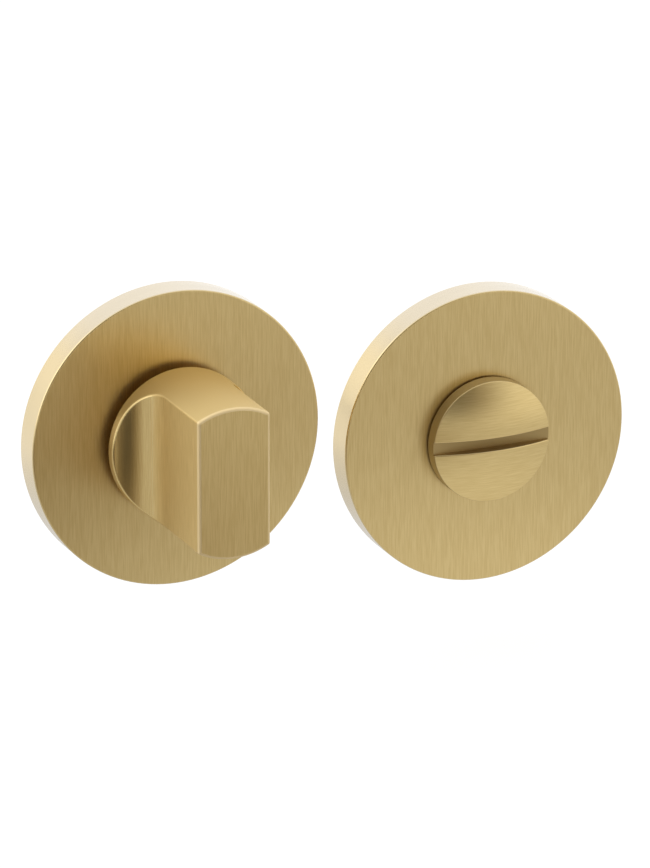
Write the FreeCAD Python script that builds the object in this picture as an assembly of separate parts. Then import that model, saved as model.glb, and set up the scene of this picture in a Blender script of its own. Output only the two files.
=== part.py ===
"""Bathroom thumb turn lock: an inside half with a thumb turn and an outside half with a coin release.

Millimetres. +Z is up and the roses face -Y. The origin is the centre of the thumb turn's fixing, on the
plane where its rose meets the door. Both halves stand side by side with their backs on that plane.
"""
import FreeCAD, Part
import math
import os

from FreeCAD import Vector

# Places of the two halves on the door plane
release_pitch_x = 57.0
release_drop_z = 7.7

# Rose covers
rose_d = 52.0
rose_depth = 5.5
rose_face_wall = 1.5
rose_rim_wall = 1.5
rose_edge_round = 0.3
rose_back_break = 0.2

# Thumb turn
knob_d = 26.4
knob_gap = 2.0
knob_reach = 25.0
knob_rim = 1.8
blade_width = 12.9
scoop_radius = 6.8
knob_front_round = 0.5
knob_scoop_round = 0.4
knob_back_round = 0.2

# Release button
button_d = 21.6
button_gap = 0.4
button_wall = 2.5
button_dome = 1.8
button_edge_round = 0.2
slot_width = 2.2
slot_under_dome = 0.4
slot_lip_round = 0.2

# Stem, tail and spindle, shared by both halves
stem_d = 14.0
stem_clearance = 0.05
tail_d = 12.0
tail_length = 8.0
tail_chamfer = 0.5
spindle_side = 6.0
spindle_length = 41.0
spindle_chamfer = 0.6
socket_clearance = 0.1
turn_socket_depth = 11.0
release_socket_depth = 12.0

# Grub screw that holds the spindle
grub_d = 4.0
grub_clearance = 0.05
grub_from_end = 3.6
grub_recess = 0.3
grub_key = 2.0
grub_key_depth = 1.4

# Bush
bush_wall = 2.0
bush_flange_width = 2.0
bush_flange_depth = 0.8
bush_below_face = 0.3
bush_clearance = 0.05

# Washers and circlip behind the bush
washer_thickness = 0.5
washer_width = 3.2
washer_clearance = 0.25
washer_play = 0.05
wave_thickness = 0.3
wave_height = 0.8
wave_count = 3
wave_width = 2.6
circlip_thickness = 1.0
circlip_width = 1.9
circlip_gap = 3.4
circlip_ear_r = 1.45
circlip_ear_hole_r = 0.7
circlip_ear_reach = 0.55
groove_depth = 0.4
groove_clearance = 0.05

# Base plates
plate_clearance = 0.15
plate_web = 1.4
plate_rim = 2.0
hub_wall = 2.2
hub_clearance = 0.5
rib_count = 12
rib_width = 1.6
pocket_corner_round = 0.5
fixing_centres = 38.0
lug_d = 7.0
lug_length = 6.0
lug_chamfer = 0.4
boss_d = 10.4
bolt_hole_d = 4.5
bolt_head_d = 8.4
bolt_head_angle = 90.0
tapped_hole_d = 3.3
tapped_hole_floor = 0.8

# Snap rings that hold the covers on the plates
snap_wire = 0.9
snap_gap_angle = 24.0
snap_clearance = 0.1
snap_from_back = 1.9

# Sizes worked out from the ones above; heights are counted from the door plane, towards the front
rose_r = rose_d / 2
plate_thickness = rose_depth - rose_face_wall
cup_r = rose_r - rose_rim_wall
plate_r = cup_r - plate_clearance
stem_r = stem_d / 2
tail_r = tail_d / 2
bush_bore_r = stem_r + stem_clearance
bush_r = bush_bore_r + bush_wall
bush_seat_r = bush_r + bush_clearance
flange_r = bush_r + bush_flange_width
flange_seat_r = flange_r + bush_clearance
groove_r = stem_r - groove_depth
circlip_bore_r = groove_r + groove_clearance
circlip_low = groove_clearance + washer_play
circlip_high = circlip_low + circlip_thickness
wave_low = circlip_high + washer_play
washer_low = wave_low + wave_height + washer_play
hub_step = washer_low + washer_thickness
washer_bore_r = stem_r + washer_clearance
washer_r = washer_bore_r + washer_width
hub_bore_r = washer_r + hub_clearance
hub_r = hub_bore_r + hub_wall
flange_low = plate_thickness - bush_flange_depth
knob_r = knob_d / 2
knob_back = rose_depth + knob_gap
knob_front = rose_depth + knob_reach
scoop_floor = knob_back + knob_rim
button_r = button_d / 2
button_back = rose_depth + button_gap
button_edge = button_back + button_wall
button_top = button_edge + button_dome
slot_floor = button_edge - slot_under_dome
socket_side = spindle_side + 2 * socket_clearance
snap_r = (cup_r + plate_r) / 2
snap_half = snap_wire / 2
snap_groove_half = snap_half + snap_clearance

ORIGIN = Vector(0, 0, 0)
ACROSS = Vector(1, 0, 0)
UP = Vector(0, 1, 0)
OUT = Vector(0, 0, 1)


def disc(radius, low, high):
    """Solid cylinder on the half's own axis, from one height to another."""
    return Part.makeCylinder(radius, high - low, Vector(0, 0, low), OUT)


def ring(outer, inner, low, high):
    """Tube on the half's own axis."""
    return disc(outer, low, high).cut(disc(inner, low, high))


def block(width, height, low, high, x=0.0, y=0.0):
    """Box centred on a point of the rose, from one height to another."""
    corner = Vector(x - width / 2, y - height / 2, low)
    return Part.makeBox(width, height, high - low, corner, OUT)


def round_edges_at(shape, radius, height):
    """The circular edges of a given radius at a given height."""
    found = []
    for edge in shape.Edges:
        if edge.Degenerated or not isinstance(edge.Curve, Part.Circle):
            continue
        curve = edge.Curve
        if abs(curve.Radius - radius) < 1e-6 and abs(curve.Center.z - height) < 1e-6:
            found.append(edge)
    return found


def rose(hole_r):
    """Cover: a turned cup with a round hole, an inside groove for its snap ring and a softened front edge."""
    body = disc(rose_r, 0, rose_depth)
    body = body.makeFillet(rose_edge_round, round_edges_at(body, rose_r, rose_depth))
    body = body.makeChamfer(rose_back_break, round_edges_at(body, rose_r, 0))
    cup = disc(cup_r, 0, plate_thickness)
    groove = disc(snap_r + snap_groove_half, snap_from_back - snap_groove_half,
                  snap_from_back + snap_groove_half)
    return body.cut(cup).cut(groove).cut(disc(hole_r, 0, rose_depth))


def plate_pockets():
    """Hollows cast in the plate's back, between its hub, rim, ribs and the bosses of its two lugs."""
    depth = plate_thickness - plate_web
    pockets = ring(plate_r - plate_rim, hub_r, 0, depth)
    for i in range(rib_count):
        rib = Part.makeBox(plate_r, rib_width, depth, Vector(0, -rib_width / 2, 0), OUT)
        rib.rotate(ORIGIN, OUT, 360.0 * (i + 0.5) / rib_count)
        pockets = pockets.cut(rib)
    for side in (-1, 1):
        boss = disc(boss_d / 2, 0, depth)
        boss.translate(UP * side * fixing_centres / 2)
        pockets = pockets.cut(boss)
    return pockets.makeFillet(pocket_corner_round, [e for e in pockets.Edges if is_pocket_corner(e)])


def is_pocket_corner(edge):
    """True for an upright corner of a pocket where a rib meets the hub or the rim."""
    start, end = edge.Vertexes[0].Point, edge.Vertexes[-1].Point
    if math.hypot(start.x - end.x, start.y - end.y) > 1e-6:
        return False
    return all(start.distanceToPoint(Vector(0, side * fixing_centres / 2, start.z)) > boss_d / 2 + 1e-3
               for side in (-1, 1))


def base_plate(tapped):
    """Die-cast plate that the cover sits on: hub, ribbed back, snap ring groove and two fixing lugs."""
    plate = disc(plate_r, 0, plate_thickness).cut(plate_pockets())
    plate = plate.cut(disc(hub_bore_r, 0, hub_step))
    plate = plate.cut(disc(bush_seat_r, 0, plate_thickness))
    plate = plate.cut(disc(flange_seat_r, flange_low, plate_thickness))
    plate = plate.cut(ring(plate_r, snap_r - snap_groove_half, snap_from_back - snap_groove_half,
                           snap_from_back + snap_groove_half))
    for side in (-1, 1):
        centre = UP * side * fixing_centres / 2
        lug = disc(lug_d / 2, -lug_length, plate_web)
        lug = lug.makeChamfer(lug_chamfer, round_edges_at(lug, lug_d / 2, -lug_length))
        lug.translate(centre)
        plate = plate.fuse(lug)
        hole = tapped_hole() if tapped else bolt_hole()
        hole.translate(centre)
        plate = plate.cut(hole)
    return plate.removeSplitter()


def bolt_hole():
    """Clearance hole right through, countersunk from the front for a bolt's head."""
    hole = disc(bolt_hole_d / 2, -lug_length, plate_thickness)
    sink = (bolt_head_d - bolt_hole_d) / 2 / math.tan(math.radians(bolt_head_angle / 2))
    cone = Part.makeCone(bolt_hole_d / 2, bolt_head_d / 2, sink, Vector(0, 0, plate_thickness - sink), OUT)
    return hole.fuse(cone)


def tapped_hole():
    """Blind hole from the lug's end, at the diameter drilled for the bolt's thread."""
    return disc(tapped_hole_d / 2, -lug_length, plate_thickness - tapped_hole_floor)


def snap_ring():
    """Open ring of square spring wire in the groove between plate and cover."""
    sweep = 360 - snap_gap_angle
    foot = Vector(0, 0, snap_from_back - snap_half)
    outer = Part.makeCylinder(snap_r + snap_half, snap_wire, foot, OUT, sweep)
    inner = Part.makeCylinder(snap_r - snap_half, snap_wire, foot, OUT, 360)
    wire = outer.cut(inner)
    wire.rotate(ORIGIN, OUT, snap_gap_angle / 2)
    return wire


def bush():
    """Flanged plastic bush, held by its flange between plate and cover."""
    barrel = ring(bush_r, bush_bore_r, hub_step, rose_depth - bush_below_face)
    flange = ring(flange_r, bush_bore_r, flange_low, plate_thickness)
    return barrel.fuse(flange).removeSplitter()


def thrust_washer():
    """Flat washer against the hub's step."""
    return ring(washer_r, washer_bore_r, washer_low, hub_step)


def wave_curve(radius, height):
    """Closed line at one radius that rises and falls around the axis."""
    swing = (wave_height - wave_thickness) / 2
    steps = wave_count * 8
    points = []
    for i in range(steps):
        angle = 2 * math.pi * i / steps
        lift = swing * (1 + math.cos(wave_count * angle))
        points.append(Vector(radius * math.cos(angle), radius * math.sin(angle), height + lift))
    line = Part.BSplineCurve()
    line.interpolate(Points=points, PeriodicFlag=True)
    return line.toShape()


def wave_washer():
    """Spring washer: a thin ring bent into waves, between the circlip and the flat washer."""
    inner = washer_bore_r
    outer = washer_bore_r + wave_width
    low_in = wave_curve(inner, wave_low)
    low_out = wave_curve(outer, wave_low)
    high_in = wave_curve(inner, wave_low + wave_thickness)
    high_out = wave_curve(outer, wave_low + wave_thickness)
    faces = [
        Part.makeRuledSurface(low_in, low_out),
        Part.makeRuledSurface(low_out, high_out),
        Part.makeRuledSurface(high_out, high_in),
        Part.makeRuledSurface(high_in, low_in),
    ]
    shell = Part.makeShell(faces)
    shell.sewShape()
    solid = Part.makeSolid(shell)
    if solid.Volume < 0:
        solid.reverse()
    return solid


def circlip():
    """Retaining ring in the stem's groove, open at the top with an ear and a plier hole on each side."""
    ear_x = circlip_gap / 2 + circlip_ear_r
    ear_y = circlip_bore_r + circlip_width - circlip_ear_r + circlip_ear_reach
    clip = disc(circlip_bore_r + circlip_width, circlip_low, circlip_high)
    for side in (-1, 1):
        ear = disc(circlip_ear_r, circlip_low, circlip_high)
        ear.translate(Vector(side * ear_x, ear_y, 0))
        clip = clip.fuse(ear)
    gap_reach = circlip_bore_r + circlip_width + circlip_ear_r
    clip = clip.cut(disc(circlip_bore_r, circlip_low, circlip_high))
    clip = clip.cut(block(circlip_gap, gap_reach, circlip_low, circlip_high, y=gap_reach / 2))
    for side in (-1, 1):
        hole = disc(circlip_ear_hole_r, circlip_low, circlip_high)
        hole.translate(Vector(side * ear_x, ear_y, 0))
        clip = clip.cut(hole)
    return clip.removeSplitter()


def stem(top, socket_depth):
    """Stem and tail behind a knob or button: circlip groove, and a square socket in the tail's end."""
    tail = disc(tail_r, -tail_length, 0)
    tail = tail.makeChamfer(tail_chamfer, round_edges_at(tail, tail_r, -tail_length))
    body = disc(stem_r, 0, top).fuse(tail)
    groove = ring(stem_r, groove_r, circlip_low - groove_clearance, circlip_high + groove_clearance)
    socket = block(socket_side, socket_side, -tail_length, socket_depth - tail_length)
    return body.cut(groove).cut(socket)


def scoop(side):
    """Hollow cut down one flank of the knob: a round root that runs out at its edge, and a straight wall."""
    wall = side * blade_width / 2
    root = wall + side * scoop_radius
    outside = side * (max(abs(root), knob_r) + knob_front_round)
    above = knob_front + knob_front_round
    middle = scoop_radius * (1 - math.sqrt(0.5))
    arc = Part.Arc(
        Vector(wall, 0, scoop_floor + scoop_radius),
        Vector(wall + side * middle, 0, scoop_floor + middle),
        Vector(root, 0, scoop_floor),
    )
    edges = [
        Part.LineSegment(Vector(wall, 0, above), Vector(wall, 0, scoop_floor + scoop_radius)).toShape(),
        arc.toShape(),
        Part.LineSegment(Vector(root, 0, scoop_floor), Vector(outside, 0, scoop_floor)).toShape(),
        Part.LineSegment(Vector(outside, 0, scoop_floor), Vector(outside, 0, above)).toShape(),
        Part.LineSegment(Vector(outside, 0, above), Vector(wall, 0, above)).toShape(),
    ]
    face = Part.Face(Part.Wire(edges))
    face.translate(UP * -knob_d)
    return face.extrude(UP * 2 * knob_d)


def is_scoop_edge(edge):
    """True for an edge where a scoop leaves the knob's round side."""
    for t in (0.25, 0.5, 0.75):
        point = edge.valueAt(edge.FirstParameter + t * (edge.LastParameter - edge.FirstParameter))
        if abs(math.hypot(point.x, point.y) - knob_r) > 1e-3:
            return False
        if point.z < scoop_floor - 1e-3 or point.z > knob_front - 1e-3:
            return False
    return True


def is_front_edge(edge):
    """True for an edge of the knob's flat front."""
    return all(abs(vertex.Point.z - knob_front) < 1e-6 for vertex in edge.Vertexes)


def thumb_turn():
    """Knob with two scooped flanks, on its stem."""
    knob = disc(knob_r, knob_back, knob_front)
    knob = knob.makeFillet(knob_back_round, round_edges_at(knob, knob_r, knob_back))
    for side in (-1, 1):
        knob = knob.cut(scoop(side))
    knob = knob.makeFillet(knob_scoop_round, [e for e in knob.Edges if is_scoop_edge(e)])
    knob = knob.makeFillet(knob_front_round, [e for e in knob.Edges if is_front_edge(e)])
    turn = knob.fuse(stem(knob_back, turn_socket_depth))
    grub_hole = Part.makeCylinder(grub_d / 2, tail_d, Vector(0, 0, grub_from_end - tail_length), UP)
    return turn.cut(grub_hole).removeSplitter()


def spindle():
    """Square bar from the bottom of the turn's socket, through the door, with its ends chamfered."""
    start = turn_socket_depth - tail_length
    bar = block(spindle_side, spindle_side, start - spindle_length, start)
    ends = [e for e in bar.Edges if abs(e.Vertexes[0].Point.z - e.Vertexes[1].Point.z) < 1e-6]
    return bar.makeChamfer(spindle_chamfer, ends)


def grub_screw():
    """Socket screw in the tail, with its flat end on the spindle."""
    length = tail_r - grub_recess - spindle_side / 2
    foot = Vector(0, spindle_side / 2, grub_from_end - tail_length)
    body = Part.makeCylinder(grub_d / 2 - grub_clearance, length, foot, UP)
    corner = grub_key / math.sqrt(3)
    points = [Vector(corner * math.cos(math.radians(60 * i)), 0, corner * math.sin(math.radians(60 * i)))
              for i in range(7)]
    key = Part.Face(Part.makePolygon(points)).extrude(UP * -grub_key_depth)
    key.translate(foot + UP * length)
    return body.cut(key)


def dome_outline():
    """Half section of the button's head: flat back, short wall and a dome in one arc."""
    dome_r = (button_r ** 2 + button_dome ** 2) / (2 * button_dome)
    half_angle = math.asin(button_r / dome_r) / 2
    middle = Vector(dome_r * math.sin(half_angle), 0, button_top - dome_r * (1 - math.cos(half_angle)))
    top = Vector(0, 0, button_top)
    edge = Vector(button_r, 0, button_edge)
    back = Vector(button_r, 0, button_back)
    axis = Vector(0, 0, button_back)
    return Part.Face(Part.Wire([
        Part.Arc(top, middle, edge).toShape(),
        Part.LineSegment(edge, back).toShape(),
        Part.LineSegment(back, axis).toShape(),
        Part.LineSegment(axis, top).toShape(),
    ]))


def release_button():
    """Domed button on its stem, with a coin slot right across its face."""
    head = dome_outline().revolve(ORIGIN, OUT, 360)
    head = head.makeFillet(button_edge_round, round_edges_at(head, button_r, button_edge))
    head = head.cut(block(button_d, slot_width, slot_floor, button_top))
    head = head.makeFillet(slot_lip_round, [e for e in head.Edges if is_slot_lip(e)])
    return head.fuse(stem(button_back, release_socket_depth)).removeSplitter()


def is_slot_lip(edge):
    """True for an edge where the slot's wall leaves the button's dome."""
    middle = edge.valueAt((edge.FirstParameter + edge.LastParameter) / 2)
    return abs(abs(middle.y) - slot_width / 2) < 1e-6 and middle.z > button_edge


def place(shape, x, z):
    """Turns a half's own axis to face -Y and moves it to its place on the door plane."""
    placed = shape.copy()
    placed.rotate(ORIGIN, ACROSS, 90)
    placed.translate(Vector(x, 0, z))
    return placed


def half_pieces(name, tapped):
    """The pieces that both halves have alike."""
    return {
        name + "_rose": rose(bush_seat_r),
        name + "_base_plate": base_plate(tapped),
        name + "_snap_ring": snap_ring(),
        name + "_bush": bush(),
        name + "_thrust_washer": thrust_washer(),
        name + "_wave_washer": wave_washer(),
        name + "_circlip": circlip(),
    }


turn_half = half_pieces("turn", tapped=False)
turn_half["thumb_turn"] = thumb_turn()
turn_half["spindle"] = spindle()
turn_half["spindle_grub_screw"] = grub_screw()

release_half = half_pieces("release", tapped=True)
release_half["release_button"] = release_button()

os.makedirs("parts", exist_ok=True)
for pieces, x, z in ((turn_half, 0.0, 0.0), (release_half, release_pitch_x, -release_drop_z)):
    for node, shape in pieces.items():
        placed = place(shape, x, z)
        placed.exportStep("parts/" + node + ".step")
        box = placed.optimalBoundingBox(False, False)
        print(node, "solids", len(placed.Solids), "valid", placed.isValid(), "volume", round(placed.Volume, 2),
              "x", round(box.XMin, 2), round(box.XMax, 2), "y", round(box.YMin, 2), round(box.YMax, 2),
              "z", round(box.ZMin, 2), round(box.ZMax, 2))
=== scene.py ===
"""Finishes, stage and camera for a bathroom thumb turn lock in satin brass."""
import math

import bpy
from bpy.props import FloatProperty, FloatVectorProperty, PointerProperty
from mathutils import Matrix, Vector


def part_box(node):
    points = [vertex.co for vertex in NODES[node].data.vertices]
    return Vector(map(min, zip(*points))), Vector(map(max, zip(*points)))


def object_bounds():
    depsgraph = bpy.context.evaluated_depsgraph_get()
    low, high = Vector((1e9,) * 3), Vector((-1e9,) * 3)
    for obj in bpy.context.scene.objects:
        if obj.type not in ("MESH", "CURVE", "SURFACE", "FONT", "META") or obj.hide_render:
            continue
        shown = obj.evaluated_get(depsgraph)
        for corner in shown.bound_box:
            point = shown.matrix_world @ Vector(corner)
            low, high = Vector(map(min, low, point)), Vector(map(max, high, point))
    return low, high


bl_info = {
    "name": "Bathroom Thumb Turn Lock",
    "version": (1, 0, 0),
    "blender": (4, 5, 0),
    "location": "View3D > Sidebar > Lock",
    "description": "Dresses the lock's pieces in brushed brass, zinc and steel and sets up its studio",
    "category": "Object",
}

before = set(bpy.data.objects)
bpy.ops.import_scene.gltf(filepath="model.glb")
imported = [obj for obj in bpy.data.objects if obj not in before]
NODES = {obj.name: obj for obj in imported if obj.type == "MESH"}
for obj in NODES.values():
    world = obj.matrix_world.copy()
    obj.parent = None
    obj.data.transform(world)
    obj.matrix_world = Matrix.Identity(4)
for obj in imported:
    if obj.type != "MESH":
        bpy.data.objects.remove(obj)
CAD_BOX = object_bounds()

SIDEWAYS = (1, 0, 0)
FORWARD = (0, 1, 0)
UPWARD = (0, 0, 1)
WHITE = (1.0, 1.0, 1.0)

# How squarely a surface looks along an axis, as a cosine: where its finish starts and where it is full
ROSE_FACE = (0.55, 0.95)
RIM_UPPER_SIDE = (0.58, 0.92)
TURN_UNBRUSHED = (0.02, 0.25)
TURN_CROWN = (0.1, 0.4)
TURN_FLANK = (0.82, 0.99)
TURN_FRONT = (0.985, 0.998)
SLOT_WALL = (0.75, 0.95)
BUTTON_DOME = (0.5, 0.93)

# The turn's front edge band, rougher and with a painted highlight, has faded out at this many times its depth
EDGE_FADE = 1.3

# Margins in metres over which the slot's mask fades: past its lips, then near its floor and farther off
LIP_FADE = 0.00004
FLOOR_NEAR = 0.0001
FLOOR_FAR = 0.0003

# Turns the dome's stretched highlights by a right angle, as a share of a full turn
RIGHT_ANGLE = 0.25

# Noise of the brush lines: detail and harshness of the lines, then detail, scale and share of the streaks
LINE_DETAIL = 2.0
LINE_HARSHNESS = 0.6
STREAK_DETAIL = 1.0
STREAK_SCALE = 0.22
STREAK_SHARE = 0.07

# Noise of the skin grain: detail of the grain, then detail and scale of the clouds and how dull they are
GRAIN_DETAIL = 3.0
CLOUD_DETAIL = 2.0
CLOUD_SCALE = 0.12
CLOUD_DULLNESS = 1.15

# Noise values between which a tone goes from none to full
TONE_RANGE = (0.3, 0.7)

# Skins of the pieces behind the roses, with the size and depth of their grain in metres
SKINS = {
    "zinc_casting": {"darker": 0.82, "roughness": 0.55, "size": 0.0006, "depth": 0.00003, "metallic": 0.9},
    "plated_steel": {"darker": 0.9, "roughness": 0.32, "size": 0.0004, "depth": 0.000006, "metallic": 1.0},
    "spring_steel": {"darker": 0.8, "roughness": 0.35, "size": 0.0003, "depth": 0.000005, "metallic": 1.0},
    "nylon": {"darker": 0.8, "roughness": 0.5, "size": 0.0003, "depth": 0.00001, "metallic": 0.0},
}

# Skin of each inner piece that both halves have
INNER_PIECES = {
    "base_plate": "zinc_casting",
    "thrust_washer": "plated_steel",
    "wave_washer": "spring_steel",
    "circlip": "spring_steel",
    "snap_ring": "spring_steel",
    "bush": "nylon",
}


class BrassFinish(bpy.types.PropertyGroup):
    """Satin brass of the roses, the turn and the release button."""

    colour: FloatVectorProperty(
        name="Colour", description="Brass in the open, where the brush has cut it bright",
        subtype="COLOR", size=3, min=0, max=1, default=(0.815, 0.627, 0.29))
    deep_colour: FloatVectorProperty(
        name="Deep Colour", description="Brass at the bottom of the brush lines",
        subtype="COLOR", size=3, min=0, max=1, default=(0.715, 0.532, 0.226))
    # Rim brass: partly the turned rims' own paler tone, partly painted sheen for the whitish glare on them
    rim_and_sheen_colour: FloatVectorProperty(
        name="Rim Colour", description="Paler brass of the roses' turned rims",
        subtype="COLOR", size=3, min=0, max=1, default=(0.73, 0.575, 0.30))
    # Painted highlight: the rims' upper side is made paler where light falls from above
    rim_top_highlight_colour: FloatVectorProperty(
        name="Rim Top Colour", description="Brass of the rims' upper side, bleached by cleaning",
        subtype="COLOR", size=3, min=0, max=1, default=(0.765, 0.66, 0.48))
    # Painted highlight along the turn's front edge
    edge_highlight_colour: FloatVectorProperty(
        name="Edge Colour", description="Brass that hands have worn bright on the turn's front edge",
        subtype="COLOR", size=3, min=0, max=1, default=(0.92, 0.76, 0.46))
    # Painted shade on the button's wall, which stands in the shadow beside the rose
    wall_shade_colour: FloatVectorProperty(
        name="Wall Colour", description="Duller brass of the button's turned wall",
        subtype="COLOR", size=3, min=0, max=1, default=(0.60, 0.49, 0.27))
    # Painted shade in the button's slot, darker because the recess is shaded
    slot_shade_colour: FloatVectorProperty(
        name="Cut Colour", description="Dull brass of the button's milled slot",
        subtype="COLOR", size=3, min=0, max=1, default=(0.47, 0.34, 0.148))
    satin_roughness: FloatProperty(
        name="Satin Roughness", description="Roughness of the smooth rims and of the lacquer",
        min=0, max=1, default=0.22)
    brushed_roughness: FloatProperty(
        name="Brushed Roughness", description="Roughness of the roses' faces and the turn's front",
        min=0, max=1, default=0.36)
    dome_roughness: FloatProperty(
        name="Dome Roughness", description="Roughness of the button's dome",
        min=0, max=1, default=0.30)
    cut_roughness: FloatProperty(
        name="Cut Roughness", description="Roughness of the button's slot and wall",
        min=0, max=1, default=0.5)
    scoop_roughness: FloatProperty(
        name="Scoop Roughness", description="Roughness of the turn's scoops",
        min=0, max=1, default=0.19)
    flank_roughness: FloatProperty(
        name="Flank Roughness", description="Roughness of the turn's upright flanks",
        min=0, max=1, default=0.62)
    crown_roughness: FloatProperty(
        name="Crown Roughness", description="Roughness of the turn's round side",
        min=0, max=1, default=0.48)
    edge_roughness: FloatProperty(
        name="Edge Roughness", description="Roughness of the turn's front edge",
        min=0, max=1, default=0.7)
    # This band of the front edge is rougher and also carries the painted highlight
    edge_depth: FloatProperty(
        name="Edge Depth", description="How far the worn edge reaches back from the turn's front",
        unit="LENGTH", precision=5, default=0.0006)
    stretch: FloatProperty(
        name="Stretch", description="How far the roses' highlights spread across the brush lines",
        min=0, max=1, default=0.6)
    dome_stretch: FloatProperty(
        name="Dome Stretch", description="How far the dome's highlights spread across the brush lines",
        min=0, max=1, default=0.2)
    face_lacquer: FloatProperty(
        name="Face Lacquer", description="Cover of the clear lacquer on the roses' faces",
        min=0, max=1, default=0.2)
    rim_lacquer: FloatProperty(
        name="Rim Lacquer", description="Cover of the clear lacquer on the roses' rims",
        min=0, max=1, default=0.9)
    line_width: FloatProperty(
        name="Line Width", description="Width of one brush line",
        unit="LENGTH", precision=5, default=0.00015)
    line_length: FloatProperty(
        name="Line Length", description="Length of one brush line",
        unit="LENGTH", precision=4, default=0.0045)
    line_depth: FloatProperty(
        name="Line Depth", description="Depth of the brush lines",
        unit="LENGTH", precision=6, default=0.000005)
    slot_half: FloatProperty(
        name="Slot Half", description="Half the height of the milled slot",
        unit="LENGTH", precision=5, default=0.00115)
    slot_floor: FloatProperty(
        name="Slot Floor", description="Distance of the slot's floor from the door",
        unit="LENGTH", precision=4, default=0.0080)


class HardwareFinish(bpy.types.PropertyGroup):
    """Colours of the pieces behind the roses, each named like its skin."""

    zinc_casting: FloatVectorProperty(
        name="Zinc", description="Bare die-cast zinc",
        subtype="COLOR", size=3, min=0, max=1, default=(0.42, 0.43, 0.44))
    plated_steel: FloatVectorProperty(
        name="Plated Steel", description="Zinc-plated steel",
        subtype="COLOR", size=3, min=0, max=1, default=(0.60, 0.61, 0.62))
    spring_steel: FloatVectorProperty(
        name="Spring Steel", description="Oiled spring steel",
        subtype="COLOR", size=3, min=0, max=1, default=(0.14, 0.14, 0.15))
    nylon: FloatVectorProperty(
        name="Nylon", description="Black moulded nylon",
        subtype="COLOR", size=3, min=0, max=1, default=(0.025, 0.024, 0.023))


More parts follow.
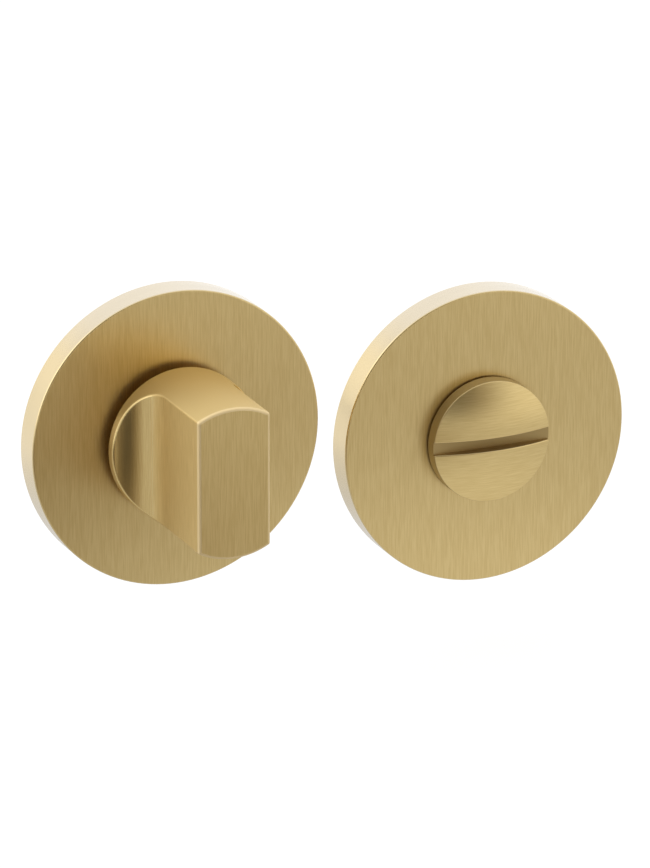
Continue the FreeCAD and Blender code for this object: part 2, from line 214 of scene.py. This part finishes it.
class Studio(bpy.types.PropertyGroup):
    """Camera, floor and surroundings."""

    azimuth: FloatProperty(
        name="Azimuth", description="Camera's turn about the upright axis, from the front",
        subtype="ANGLE", default=math.radians(-23.59))
    elevation: FloatProperty(
        name="Elevation", description="Camera's height as an angle",
        subtype="ANGLE", default=math.radians(19.405))
    distance: FloatProperty(
        name="Distance", description="From the camera to the point that it looks at",
        unit="LENGTH", default=1.4388)
    aim: FloatVectorProperty(
        name="Aim", description="Point that the camera looks at",
        subtype="TRANSLATION", size=3, precision=4, default=(0.0272, -0.0055, -0.0031))
    lens: FloatProperty(
        name="Lens", description="Focal length of the camera",
        unit="CAMERA", default=352.53)
    frame_height: FloatProperty(
        name="Frame Height", description="Height of the camera's frame",
        unit="CAMERA", default=36.0)
    sight: FloatProperty(
        name="Sight", description="Farthest distance that the camera shows",
        unit="LENGTH", default=100.0)
    floor_size: FloatProperty(
        name="Floor Size", description="Length of the floor's sides",
        unit="LENGTH", default=6.0)
    floor_drop: FloatProperty(
        name="Floor Drop", description="From the lock's lowest point to the floor",
        unit="LENGTH", default=0.009)
    floor_colour: FloatVectorProperty(
        name="Floor Colour", description="Colour that the floor shows to the camera",
        subtype="COLOR", size=3, min=0, max=1, default=(1.0, 1.0, 1.0))
    floor_glow: FloatProperty(
        name="Floor Glow", description="Brightness that the floor shows by itself to the camera",
        min=0, max=1, default=0.84)
    floor_cloth: FloatProperty(
        name="Floor Cloth", description="Share of the light that the floor gives back, and loses in shadow",
        min=0, max=1, default=0.22)
    shade_colour: FloatVectorProperty(
        name="Shade Colour", description="Warm tint of what is unlit",
        subtype="COLOR", size=3, min=0, max=1, default=(1.0, 0.80, 0.52))
    shade_range: FloatVectorProperty(
        name="Shade Range", description="Brightness where the warm tint starts to go, and where it is gone",
        size=2, min=0, max=2, default=(0.2, 0.66))
    room_level: FloatProperty(
        name="Room Level", description="Brightness of the white walls around the lock",
        min=0, max=2, default=1.0)
    dark_azimuth: FloatProperty(
        name="Dark Side Azimuth", description="Middle of the unlit part of the room",
        subtype="ANGLE", default=math.radians(-17.0))
    dark_elevation: FloatProperty(
        name="Dark Side Elevation", description="Height of the unlit part of the room",
        subtype="ANGLE", default=math.radians(3.0))
    dark_spread: FloatVectorProperty(
        name="Dark Side Spread", description="Angles from its middle where the unlit part starts and is full",
        size=2, unit="ROTATION", default=(math.radians(57.0), math.radians(17.0)))
    dark_level: FloatProperty(
        name="Dark Side Level", description="Brightness of the unlit part",
        min=0, max=1, default=0.05)
    back_azimuth: FloatProperty(
        name="Lit Back Azimuth", description="Middle of the lit back wall",
        subtype="ANGLE", default=math.radians(172.0))
    back_elevation: FloatProperty(
        name="Lit Back Elevation", description="Height of the lit back wall",
        subtype="ANGLE", default=math.radians(32.0))
    back_spread: FloatVectorProperty(
        name="Lit Back Spread", description="Angles from its middle where the lit back starts and is full",
        size=2, unit="ROTATION", default=(math.radians(60.0), math.radians(10.0)))
    back_level: FloatProperty(
        name="Lit Back Level", description="Brightness that the lit back wall adds",
        min=0, max=3, default=0.06)
    window_azimuth: FloatProperty(
        name="Window Azimuth", description="Middle of the window at the side",
        subtype="ANGLE", default=math.radians(-112.0))
    window_elevation: FloatProperty(
        name="Window Elevation", description="Height of the window at the side",
        subtype="ANGLE", default=math.radians(25.0))
    window_spread: FloatVectorProperty(
        name="Window Spread", description="Angles from its middle where the window starts and is full",
        size=2, unit="ROTATION", default=(math.radians(44.0), math.radians(15.0)))
    window_level: FloatProperty(
        name="Window Level", description="Brightness that the window adds",
        min=0, max=3, default=0.85)
    pool_centre: FloatVectorProperty(
        name="Pool Centre", description="Middle of the shaded floor before the lock",
        subtype="TRANSLATION", size=3, precision=4, default=(-0.065, -0.13, 0.0))
    pool_levels: FloatVectorProperty(
        name="Pool Levels", description="Brightness of the floor in the shade, around it and far away",
        size=3, min=0, max=2, default=(0.02, 0.62, 1.06))
    pool_reach: FloatVectorProperty(
        name="Pool Reach", description="Radius of the shade, and where the open floor starts and is full",
        size=3, unit="LENGTH", default=(0.10, 0.13, 0.26))
    pool_width: FloatProperty(
        name="Pool Width", description="How much wider than deep the shaded floor is",
        min=1, max=4, default=1.7)
    glow_centre: FloatVectorProperty(
        name="Glow Centre", description="Middle of the brighter floor under the lock",
        subtype="TRANSLATION", size=3, precision=4, default=(0.070, -0.035, 0.0))
    glow_level: FloatProperty(
        name="Glow Level", description="Brightness that the floor under the lock adds",
        min=0, max=2, default=0.2)
    glow_reach: FloatProperty(
        name="Glow Reach", description="Radius of the brighter floor",
        unit="LENGTH", default=0.095)


def direction(azimuth, elevation):
    """Unit vector towards a place given by two angles; azimuth 0 is the front, along -Y."""
    return Vector((
        math.sin(azimuth) * math.cos(elevation),
        -math.cos(azimuth) * math.cos(elevation),
        math.sin(elevation),
    ))


def add_node(tree, kind, **values):
    """New node with its properties set."""
    node = tree.nodes.new(kind)
    for name, value in values.items():
        setattr(node, name, value)
    return node


def new_group(name, inputs, outputs):
    """Empty shader node group with named sockets; returns its tree, input node and output node."""
    tree = bpy.data.node_groups.new(name, "ShaderNodeTree")
    for socket, kind, default in inputs:
        made = tree.interface.new_socket(socket, in_out="INPUT", socket_type=kind)
        made.default_value = default
    for socket, kind in outputs:
        tree.interface.new_socket(socket, in_out="OUTPUT", socket_type=kind)
    return tree, tree.nodes.new("NodeGroupInput"), tree.nodes.new("NodeGroupOutput")


def fade(tree, value, span, levels):
    """Level that goes smoothly from the first to the second while a value crosses a span."""
    step = add_node(tree, "ShaderNodeMapRange", interpolation_type="SMOOTHSTEP")
    step.inputs["From Min"].default_value, step.inputs["From Max"].default_value = span
    step.inputs["To Min"].default_value, step.inputs["To Max"].default_value = levels
    tree.links.new(value, step.inputs["Value"])
    return step.outputs["Result"]


def brush_lines_group():
    """Fine parallel scratches with a few broad streaks: a height for the bump and a tone for the colour."""
    tree, entry, result = new_group(
        "Brush Lines",
        [("Vector", "NodeSocketVector", (0, 0, 0)), ("Density", "NodeSocketVector", (1, 1, 1))],
        [("Height", "NodeSocketFloat"), ("Tone", "NodeSocketFloat")])
    link = tree.links.new
    scaled = add_node(tree, "ShaderNodeVectorMath", operation="MULTIPLY")
    link(entry.outputs["Vector"], scaled.inputs[0])
    link(entry.outputs["Density"], scaled.inputs[1])
    fine = add_node(tree, "ShaderNodeTexNoise")
    fine.inputs["Scale"].default_value = 1.0
    fine.inputs["Detail"].default_value = LINE_DETAIL
    fine.inputs["Roughness"].default_value = LINE_HARSHNESS
    link(scaled.outputs[0], fine.inputs["Vector"])
    broad_scale = add_node(tree, "ShaderNodeVectorMath", operation="SCALE")
    broad_scale.inputs["Scale"].default_value = STREAK_SCALE
    link(scaled.outputs[0], broad_scale.inputs[0])
    broad = add_node(tree, "ShaderNodeTexNoise")
    broad.inputs["Scale"].default_value = 1.0
    broad.inputs["Detail"].default_value = STREAK_DETAIL
    link(broad_scale.outputs[0], broad.inputs["Vector"])
    blend = add_node(tree, "ShaderNodeMix", data_type="FLOAT")
    blend.inputs["Factor"].default_value = STREAK_SHARE
    link(fine.outputs["Fac"], blend.inputs["A"])
    link(broad.outputs["Fac"], blend.inputs["B"])
    link(fine.outputs["Fac"], result.inputs["Height"])
    link(fade(tree, blend.outputs["Result"], TONE_RANGE, (0.0, 1.0)), result.inputs["Tone"])
    return tree


def facing_group():
    """Mask of the surface that faces along an axis or against it, however the piece is turned."""
    tree, entry, result = new_group(
        "Facing",
        [("Normal", "NodeSocketVector", (0, 0, 1)), ("Axis", "NodeSocketVector", (0, 0, 1)),
         ("From", "NodeSocketFloat", 0.5), ("To", "NodeSocketFloat", 0.9)],
        [("Mask", "NodeSocketFloat")])
    link = tree.links.new
    dot = add_node(tree, "ShaderNodeVectorMath", operation="DOT_PRODUCT")
    link(entry.outputs["Normal"], dot.inputs[0])
    link(entry.outputs["Axis"], dot.inputs[1])
    size = add_node(tree, "ShaderNodeMath", operation="ABSOLUTE")
    link(dot.outputs["Value"], size.inputs[0])
    step = add_node(tree, "ShaderNodeMapRange", interpolation_type="SMOOTHSTEP")
    link(size.outputs[0], step.inputs["Value"])
    link(entry.outputs["From"], step.inputs["From Min"])
    link(entry.outputs["To"], step.inputs["From Max"])
    link(step.outputs["Result"], result.inputs["Mask"])
    return tree


def grain_group():
    """Soft uneven grain of a cast, plated or moulded skin, with clouds for its tone."""
    tree, entry, result = new_group(
        "Skin Grain",
        [("Vector", "NodeSocketVector", (0, 0, 0)), ("Size", "NodeSocketFloat", 0.001)],
        [("Height", "NodeSocketFloat"), ("Tone", "NodeSocketFloat")])
    link = tree.links.new
    density = add_node(tree, "ShaderNodeMath", operation="DIVIDE")
    density.inputs[0].default_value = 1.0
    link(entry.outputs["Size"], density.inputs[1])
    fine = add_node(tree, "ShaderNodeTexNoise")
    fine.inputs["Detail"].default_value = GRAIN_DETAIL
    link(entry.outputs["Vector"], fine.inputs["Vector"])
    link(density.outputs[0], fine.inputs["Scale"])
    slow = add_node(tree, "ShaderNodeMath", operation="MULTIPLY")
    slow.inputs[1].default_value = CLOUD_SCALE
    link(density.outputs[0], slow.inputs[0])
    clouds = add_node(tree, "ShaderNodeTexNoise")
    clouds.inputs["Detail"].default_value = CLOUD_DETAIL
    link(entry.outputs["Vector"], clouds.inputs["Vector"])
    link(slow.outputs[0], clouds.inputs["Scale"])
    link(fine.outputs["Fac"], result.inputs["Height"])
    link(fade(tree, clouds.outputs["Fac"], TONE_RANGE, (0.0, 1.0)), result.inputs["Tone"])
    return tree


def effect(tree, name, maker):
    """Puts the node group of that name, built on first use, into a material."""
    node = tree.nodes.new("ShaderNodeGroup")
    node.node_tree = bpy.data.node_groups.get(name) or maker()
    return node


def blank_material(name):
    """New material with one Principled shader; returns it, its tree, its shader and its coordinates."""
    material = bpy.data.materials.new(name)
    material.use_nodes = True
    tree = material.node_tree
    return material, tree, tree.nodes["Principled BSDF"], add_node(tree, "ShaderNodeTexCoord")


def mix_colours(tree, factor, low, high):
    """Colour that goes from low to high with a factor socket."""
    mix = add_node(tree, "ShaderNodeMix", data_type="RGBA")
    mix.inputs["A"].default_value = (*low, 1.0)
    mix.inputs["B"].default_value = (*high, 1.0)
    tree.links.new(factor, mix.inputs["Factor"])
    return mix.outputs["Result"]


def laid_over(tree, base, colour, mask):
    """Colour socket with a plain colour over it where the mask is 1."""
    mix = add_node(tree, "ShaderNodeMix", data_type="RGBA")
    mix.inputs["B"].default_value = (*colour, 1.0)
    tree.links.new(base, mix.inputs["A"])
    tree.links.new(mask, mix.inputs["Factor"])
    return mix.outputs["Result"]


def mix_values(tree, factor, low, high):
    """Number that goes from low to high with a factor socket."""
    ramp = add_node(tree, "ShaderNodeMapRange")
    ramp.inputs["To Min"].default_value = low
    ramp.inputs["To Max"].default_value = high
    tree.links.new(factor, ramp.inputs["Value"])
    return ramp.outputs["Result"]


def inverted(tree, mask):
    """Mask of all that another one leaves out."""
    return mix_values(tree, mask, 1.0, 0.0)


def combined(tree, operation, first, second):
    """Sum, product or larger of two sockets, by the name of the operation."""
    node = add_node(tree, "ShaderNodeMath", operation=operation)
    tree.links.new(first, node.inputs[0])
    tree.links.new(second, node.inputs[1])
    return node.outputs[0]


def bump(tree, height, depth):
    """Normal from a height socket, where 1 stands that deep."""
    node = add_node(tree, "ShaderNodeBump")
    node.inputs["Distance"].default_value = depth
    tree.links.new(height, node.inputs["Height"])
    return node.outputs["Normal"]


def facing(tree, place, axis, span):
    """Mask of the faces that look along an axis, from the Facing group."""
    node = effect(tree, "Facing", facing_group)
    node.inputs["Axis"].default_value = axis
    node.inputs["From"].default_value, node.inputs["To"].default_value = span
    tree.links.new(place.outputs["Normal"], node.inputs["Normal"])
    return node.outputs["Mask"]


def position(tree, place):
    """The piece's own X, Y and Z, as three sockets."""
    split = add_node(tree, "ShaderNodeSeparateXYZ")
    tree.links.new(place.outputs["Object"], split.inputs[0])
    return split.outputs


def brass_start(name):
    """Brass without its finish: the material, its tree, its shader and its coordinates."""
    material, tree, shader, place = blank_material(name)
    shader.inputs["Metallic"].default_value = 1.0
    return material, tree, shader, place


def brush(tree, shader, place, density, mask):
    """Lays brush lines where the mask is 1, as a bump and as a colour; returns the colour's socket."""
    look = bpy.context.scene.lock_brass
    lines = effect(tree, "Brush Lines", brush_lines_group)
    lines.inputs["Density"].default_value = density
    tree.links.new(place.outputs["Object"], lines.inputs["Vector"])
    tone = combined(tree, "MULTIPLY", lines.outputs["Tone"], mask)
    height = combined(tree, "MULTIPLY", lines.outputs["Height"], mask)
    tree.links.new(bump(tree, height, look.line_depth), shader.inputs["Normal"])
    return mix_colours(tree, tone, look.colour, look.deep_colour)


def line_counts(look):
    """Brush lines in a metre, counted across them and along them."""
    return 1 / look.line_width, 1 / look.line_length


def rose_brass():
    """Faces brushed upright; the rim is smooth, lacquered and paler, partly with painted sheen, and has a
    painted highlight on its upper side.
    """
    look = bpy.context.scene.lock_brass
    material, tree, shader, place = brass_start("rose_brass")
    link = tree.links.new
    face = facing(tree, place, FORWARD, ROSE_FACE)
    rim = inverted(tree, face)
    top_highlight_mask = combined(tree, "MULTIPLY", rim, facing(tree, place, UPWARD, RIM_UPPER_SIDE))
    across, along = line_counts(look)
    lined = brush(tree, shader, place, (across, across, along), face)
    # Paler rim with painted sheen, then a painted highlight on the rim's upper side
    painted_light_layer = laid_over(tree, lined, look.rim_and_sheen_colour, rim)
    link(laid_over(tree, painted_light_layer, look.rim_top_highlight_colour, top_highlight_mask), shader.inputs["Base Color"])
    roughness = mix_values(tree, face, look.satin_roughness, look.brushed_roughness)
    link(roughness, shader.inputs["Roughness"])
    shader.inputs["Anisotropic"].default_value = look.stretch
    lacquer = mix_values(tree, rim, look.face_lacquer, look.rim_lacquer)
    link(lacquer, shader.inputs["Coat Weight"])
    shader.inputs["Coat Roughness"].default_value = look.satin_roughness
    return material


def turn_brass():
    """Front, scoops and flanks brushed upright; flanks and round side duller, the front edge rougher and with
    a painted highlight.
    """
    look = bpy.context.scene.lock_brass
    material, tree, shader, place = brass_start("turn_brass")
    link = tree.links.new
    brushed = inverted(tree, facing(tree, place, UPWARD, TURN_UNBRUSHED))
    flank = facing(tree, place, SIDEWAYS, TURN_FLANK)
    front = facing(tree, place, FORWARD, TURN_FRONT)
    crown = facing(tree, place, UPWARD, TURN_CROWN)
    roughness = mix_values(tree, flank, look.scoop_roughness, look.flank_roughness)
    for mask, level in ((front, look.brushed_roughness), (crown, look.crown_roughness)):
        more = mix_values(tree, mask, 0.0, level - look.scoop_roughness)
        roughness = combined(tree, "ADD", roughness, more)
    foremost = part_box("thumb_turn")[0][1]
    span = (foremost + look.edge_depth, foremost + EDGE_FADE * look.edge_depth)
    reached = fade(tree, position(tree, place)["Y"], span, (1.0, 0.0))
    edge = combined(tree, "MULTIPLY", reached, inverted(tree, front))
    worn = mix_values(tree, edge, 0.0, look.edge_roughness)
    link(combined(tree, "MAXIMUM", roughness, worn), shader.inputs["Roughness"])
    across, along = line_counts(look)
    lined = brush(tree, shader, place, (across, across, along), brushed)
    # Painted highlight: brighter brass laid over the front edge
    link(laid_over(tree, lined, look.edge_highlight_colour, edge), shader.inputs["Base Color"])
    return material


def slot_mask(tree, place):
    """Mask of the milled slot: its floor and its two walls, between the lips."""
    look = bpy.context.scene.lock_brass
    low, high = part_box("release_button")
    spot = position(tree, place)
    offset = add_node(tree, "ShaderNodeMath", operation="SUBTRACT")
    offset.inputs[1].default_value = (low[2] + high[2]) / 2
    tree.links.new(spot["Z"], offset.inputs[0])
    height = add_node(tree, "ShaderNodeMath", operation="ABSOLUTE")
    tree.links.new(offset.outputs[0], height.inputs[0])
    floor_y = -look.slot_floor
    inside = fade(tree, height.outputs[0], (look.slot_half, look.slot_half + LIP_FADE), (1.0, 0.0))
    before = fade(tree, spot["Y"], (floor_y + FLOOR_NEAR, floor_y + FLOOR_FAR), (1.0, 0.0))
    floor = fade(tree, spot["Y"], (floor_y - FLOOR_FAR, floor_y - FLOOR_NEAR), (0.0, 1.0))
    sides = combined(tree, "MAXIMUM", floor, facing(tree, place, UPWARD, SLOT_WALL))
    return combined(tree, "MULTIPLY", combined(tree, "MULTIPLY", inside, before), sides)


def button_brass():
    """Dome brushed along the slot; the milled slot and the turned wall are duller, and darker with painted
    shade.
    """
    look = bpy.context.scene.lock_brass
    material, tree, shader, place = brass_start("button_brass")
    link = tree.links.new
    cut = slot_mask(tree, place)
    wall = inverted(tree, facing(tree, place, FORWARD, BUTTON_DOME))
    across, along = line_counts(look)
    lined = brush(tree, shader, place, (along, 0.0, across), inverted(tree, cut))
    # Painted shade on the button's turned wall
    painted_light_layer = laid_over(tree, lined, look.wall_shade_colour, wall)
    # Painted shade in the milled slot
    link(laid_over(tree, painted_light_layer, look.slot_shade_colour, cut), shader.inputs["Base Color"])
    dull = combined(tree, "MAXIMUM", cut, wall)
    roughness = mix_values(tree, dull, look.dome_roughness, look.cut_roughness)
    link(roughness, shader.inputs["Roughness"])
    shader.inputs["Anisotropic"].default_value = look.dome_stretch
    shader.inputs["Anisotropic Rotation"].default_value = RIGHT_ANGLE
    return material


def grained(name, colour, darker, roughness, size, depth, metallic):
    """Plain metal or plastic with a fine skin grain and cloudy tone."""
    material, tree, shader, place = blank_material(name)
    link = tree.links.new
    grain = effect(tree, "Skin Grain", grain_group)
    grain.inputs["Size"].default_value = size
    link(place.outputs["Object"], grain.inputs["Vector"])
    tone = grain.outputs["Tone"]
    dark = [channel * darker for channel in colour]
    link(mix_colours(tree, tone, dark, colour), shader.inputs["Base Color"])
    link(mix_values(tree, tone, roughness * CLOUD_DULLNESS, roughness), shader.inputs["Roughness"])
    link(bump(tree, grain.outputs["Height"], depth), shader.inputs["Normal"])
    shader.inputs["Metallic"].default_value = metallic
    return material


def dress(node, material):
    """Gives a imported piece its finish."""
    slots = NODES[node].data.materials
    slots.clear()
    slots.append(material)


class LOCK_OT_roses(bpy.types.Operator):
    """Brush the two rose covers upright, with smooth satin rims"""

    bl_idname = "lock.roses"
    bl_label = "Dress Roses"

    def execute(self, context):
        finish = rose_brass()
        for node in ("turn_rose", "release_rose"):
            dress(node, finish)
        return {"FINISHED"}


class LOCK_OT_thumb_turn(bpy.types.Operator):
    """Brush the turn's flat front and scooped flanks upright, and leave its round side satin"""

    bl_idname = "lock.thumb_turn"
    bl_label = "Dress Thumb Turn"

    def execute(self, context):
        dress("thumb_turn", turn_brass())
        return {"FINISHED"}


class LOCK_OT_release_button(bpy.types.Operator):
    """Brush the release button's dome along its slot, dull the slot and the wall, and darken both with
    painted shade
    """

    bl_idname = "lock.release_button"
    bl_label = "Dress Release Button"

    def execute(self, context):
        dress("release_button", button_brass())
        return {"FINISHED"}


class LOCK_OT_hardware(bpy.types.Operator):
    """Finish the castings, washers, rings, bushes, spindle and screw behind the roses"""

    bl_idname = "lock.hardware"
    bl_label = "Dress Hardware"

    def execute(self, context):
        look = context.scene.lock_hardware
        finishes = {name: grained(name, getattr(look, name), **skin) for name, skin in SKINS.items()}
        for half in ("turn", "release"):
            for piece, skin in INNER_PIECES.items():
                dress(f"{half}_{piece}", finishes[skin])
        dress("spindle", finishes["plated_steel"])
        dress("spindle_grub_screw", finishes["spring_steel"])
        return {"FINISHED"}


def towards(tree, vector, aim, spread, levels):
    """Level that goes from the first to the second as a direction comes near an aim, between two angles."""
    dot = add_node(tree, "ShaderNodeVectorMath", operation="DOT_PRODUCT")
    dot.inputs[1].default_value = aim
    tree.links.new(vector, dot.inputs[0])
    return fade(tree, dot.outputs["Value"], [math.cos(angle) for angle in spread], levels)


def distance_from(tree, place, point, width=1.0):
    """Distance of a place on the floor from a point; a width above 1 counts less across."""
    flat = (1 / width, 1.0, 0.0)
    scaled = add_node(tree, "ShaderNodeVectorMath", operation="MULTIPLY")
    scaled.inputs[1].default_value = flat
    tree.links.new(place.outputs["Object"], scaled.inputs[0])
    node = add_node(tree, "ShaderNodeVectorMath", operation="DISTANCE")
    node.inputs[1].default_value = [a * b for a, b in zip(point, flat)]
    tree.links.new(scaled.outputs[0], node.inputs[0])
    return node.outputs["Value"]


def tinted(tree, level, studio):
    """Colour of the surroundings at a brightness: tinted in the shade, white in full light."""
    light = add_node(tree, "ShaderNodeMapRange")
    light.inputs["From Min"].default_value, light.inputs["From Max"].default_value = studio.shade_range
    tree.links.new(level, light.inputs["Value"])
    return mix_colours(tree, light.outputs["Result"], studio.shade_colour, WHITE)


def white_room(studio):
    """World: white walls with a dark side, a lit back and a window; plain white to the camera."""
    world = bpy.data.worlds.new("white_room")
    world.use_nodes = True
    bpy.context.scene.world = world
    tree = world.node_tree
    link = tree.links.new
    background = tree.nodes["Background"]
    ray = add_node(tree, "ShaderNodeTexCoord").outputs["Generated"]
    dark = direction(studio.dark_azimuth, studio.dark_elevation)
    back = direction(studio.back_azimuth, studio.back_elevation)
    window = direction(studio.window_azimuth, studio.window_elevation)
    lit = towards(tree, ray, dark, studio.dark_spread, (studio.room_level, studio.dark_level))
    lit = combined(tree, "ADD", lit, towards(tree, ray, back, studio.back_spread, (0.0, studio.back_level)))
    daylight = towards(tree, ray, window, studio.window_spread, (0.0, studio.window_level))
    lit = combined(tree, "ADD", lit, daylight)
    path = add_node(tree, "ShaderNodeLightPath")
    level = add_node(tree, "ShaderNodeMix", data_type="FLOAT")
    level.inputs["B"].default_value = 1.0
    link(path.outputs["Is Camera Ray"], level.inputs["Factor"])
    link(lit, level.inputs["A"])
    link(level.outputs["Result"], background.inputs["Strength"])
    link(tinted(tree, level.outputs["Result"], studio), background.inputs["Color"])


def mirrored_floor(tree, studio):
    """Floor as the brass shows it: shaded before the lock, bright far away and a little under it."""
    place = add_node(tree, "ShaderNodeTexCoord")
    shade, around, far = studio.pool_levels
    edge, start, end = studio.pool_reach
    away = distance_from(tree, place, studio.pool_centre, studio.pool_width)
    near = distance_from(tree, place, studio.glow_centre)
    pool = fade(tree, away, (0.0, edge), (shade, around))
    total = combined(tree, "ADD", pool, fade(tree, away, (start, end), (0.0, far - around)))
    glow = fade(tree, near, (0.0, studio.glow_reach), (studio.glow_level, 0.0))
    total = combined(tree, "ADD", total, glow)
    mirrored = add_node(tree, "ShaderNodeEmission")
    tree.links.new(total, mirrored.inputs["Strength"])
    tree.links.new(tinted(tree, total, studio), mirrored.inputs["Color"])
    return mirrored


def floor_finish(studio):
    """White cloth that glows to the camera and keeps a faint shadow, with its own look in the brass."""
    material = bpy.data.materials.new("pale_floor")
    material.use_nodes = True
    tree = material.node_tree
    tree.nodes.clear()
    link = tree.links.new
    path = add_node(tree, "ShaderNodeLightPath")
    glow = add_node(tree, "ShaderNodeEmission")
    glow.inputs["Color"].default_value = (*studio.floor_colour, 1.0)
    strength = add_node(tree, "ShaderNodeMath", operation="MULTIPLY")
    strength.inputs[1].default_value = studio.floor_glow
    link(path.outputs["Is Camera Ray"], strength.inputs[0])
    link(strength.outputs[0], glow.inputs["Strength"])
    cloth = add_node(tree, "ShaderNodeBsdfDiffuse")
    grey = studio.floor_cloth
    cloth.inputs["Color"].default_value = (grey, grey, grey, 1.0)
    both = add_node(tree, "ShaderNodeAddShader")
    link(glow.outputs[0], both.inputs[0])
    link(cloth.outputs[0], both.inputs[1])
    choice = add_node(tree, "ShaderNodeMixShader")
    link(path.outputs["Is Glossy Ray"], choice.inputs[0])
    link(both.outputs[0], choice.inputs[1])
    link(mirrored_floor(tree, studio).outputs[0], choice.inputs[2])
    result = add_node(tree, "ShaderNodeOutputMaterial")
    link(choice.outputs[0], result.inputs["Surface"])
    return material


def pale_floor(studio):
    """Wide white floor a little below the lock."""
    bpy.ops.mesh.primitive_plane_add(size=studio.floor_size)
    floor = bpy.context.object
    floor.name = "floor"
    lowest = CAD_BOX[0][2]
    floor.data.transform(Matrix.Translation((0, 0, lowest - studio.floor_drop)))
    floor.data.materials.append(floor_finish(studio))


def camera_at(studio):
    """Camera with a long lens, turned towards its aim; returns the object."""
    data = bpy.data.cameras.new("camera")
    data.sensor_fit = "VERTICAL"
    data.sensor_height = studio.frame_height
    data.lens = studio.lens
    data.clip_end = studio.sight
    camera = bpy.data.objects.new("camera", data)
    back = direction(studio.azimuth, studio.elevation)
    camera.location = Vector(studio.aim) + back * studio.distance
    camera.rotation_euler = (-back).to_track_quat("-Z", "Y").to_euler()
    return camera


class LOCK_OT_stage(bpy.types.Operator):
    """Set up the pale floor, the white room and the camera"""

    bl_idname = "lock.stage"
    bl_label = "Set Stage"

    def execute(self, context):
        studio = context.scene.lock_studio
        white_room(studio)
        pale_floor(studio)
        camera = camera_at(studio)
        context.collection.objects.link(camera)
        context.scene.camera = camera
        context.scene.view_settings.view_transform = "Standard"
        return {"FINISHED"}


class LOCK_PT_pieces(bpy.types.Panel):
    """Sizes, colours and steps of the lock"""

    bl_idname = "LOCK_PT_pieces"
    bl_label = "Thumb Turn Lock"
    bl_space_type = "VIEW_3D"
    bl_region_type = "UI"
    bl_category = "Lock"

    def draw(self, context):
        for operator in STEPS:
            self.layout.operator(operator.bl_idname)
        for name, group in SETTINGS.items():
            settings = getattr(context.scene, name)
            box = self.layout.box()
            for key in group.__annotations__:
                box.prop(settings, key)


STEPS = (LOCK_OT_roses, LOCK_OT_thumb_turn, LOCK_OT_release_button, LOCK_OT_hardware, LOCK_OT_stage)
SETTINGS = {"lock_brass": BrassFinish, "lock_hardware": HardwareFinish, "lock_studio": Studio}


def register():
    for group in SETTINGS.values():
        bpy.utils.register_class(group)
    for name, group in SETTINGS.items():
        setattr(bpy.types.Scene, name, PointerProperty(type=group))
    for operator in STEPS:
        bpy.utils.register_class(operator)
    bpy.utils.register_class(LOCK_PT_pieces)


def unregister():
    bpy.utils.unregister_class(LOCK_PT_pieces)
    for operator in reversed(STEPS):
        bpy.utils.unregister_class(operator)
    for name, group in SETTINGS.items():
        delattr(bpy.types.Scene, name)
        bpy.utils.unregister_class(group)


def main():
    register()
    bpy.ops.lock.roses()
    bpy.ops.lock.thumb_turn()
    bpy.ops.lock.release_button()
    bpy.ops.lock.hardware()
    bpy.ops.lock.stage()


if __name__ == "__main__":
    main()
